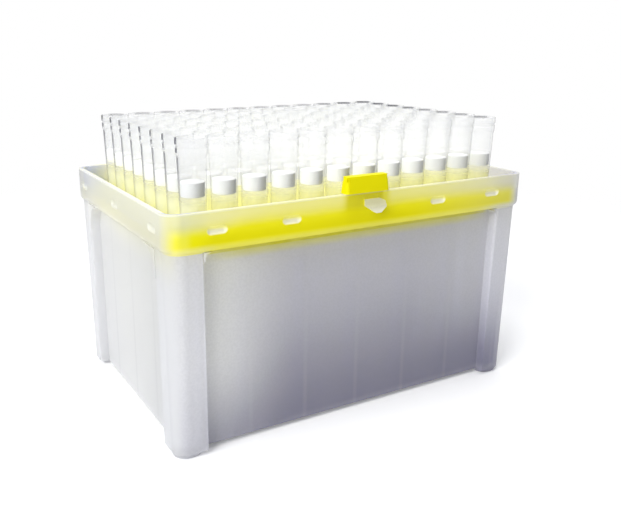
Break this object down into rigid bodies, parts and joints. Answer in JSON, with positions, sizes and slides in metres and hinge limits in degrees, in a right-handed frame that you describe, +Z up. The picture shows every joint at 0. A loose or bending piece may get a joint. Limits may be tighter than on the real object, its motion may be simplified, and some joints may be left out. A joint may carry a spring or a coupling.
{
  "type": "box of pipette tips",
  "caption": "Open rack of clear filter pipette tips standing in a snap-in plate with a thumb tab, over a deep frosted base box with corner posts.",
  "frame": {"origin": "on the table, under the middle of the tip grid, which is within 0.7 mm of the middle of the bounding box", "axes": "+X along the long side, +Y to the back where the lid would hinge, +Z up; the thumb tab is on the -Y side"},
  "size_m": [0.1218, 0.0863, 0.0858],
  "materials": {
    "frosted_base": "frosted translucent polypropylene, satin",
    "yellow_plate": "bright yellow polypropylene, satin",
    "clear_tip": "clear thin-walled polypropylene, polished",
    "white_filter": "sintered porous polyethylene, matt white"
  },
  "bodies": {
    "root": {"rack_base": "frosted_base", "tip_plate": "yellow_plate", "tips_column_01": "clear_tip", "tips_column_02": "clear_tip", "tips_column_03": "clear_tip", "tips_column_04": "clear_tip", "tips_column_05": "clear_tip", "tips_column_06": "clear_tip", "tips_column_07": "clear_tip", "tips_column_08": "clear_tip", "tips_column_09": "clear_tip", "tips_column_10": "clear_tip", "tips_column_11": "clear_tip", "tips_column_12": "clear_tip", "filters_column_01": "white_filter", "filters_column_02": "white_filter", "filters_column_03": "white_filter", "filters_column_04": "white_filter", "filters_column_05": "white_filter", "filters_column_06": "white_filter", "filters_column_07": "white_filter", "filters_column_08": "white_filter", "filters_column_09": "white_filter", "filters_column_10": "white_filter", "filters_column_11": "white_filter", "filters_column_12": "white_filter"}
  },
  "joints": []
}
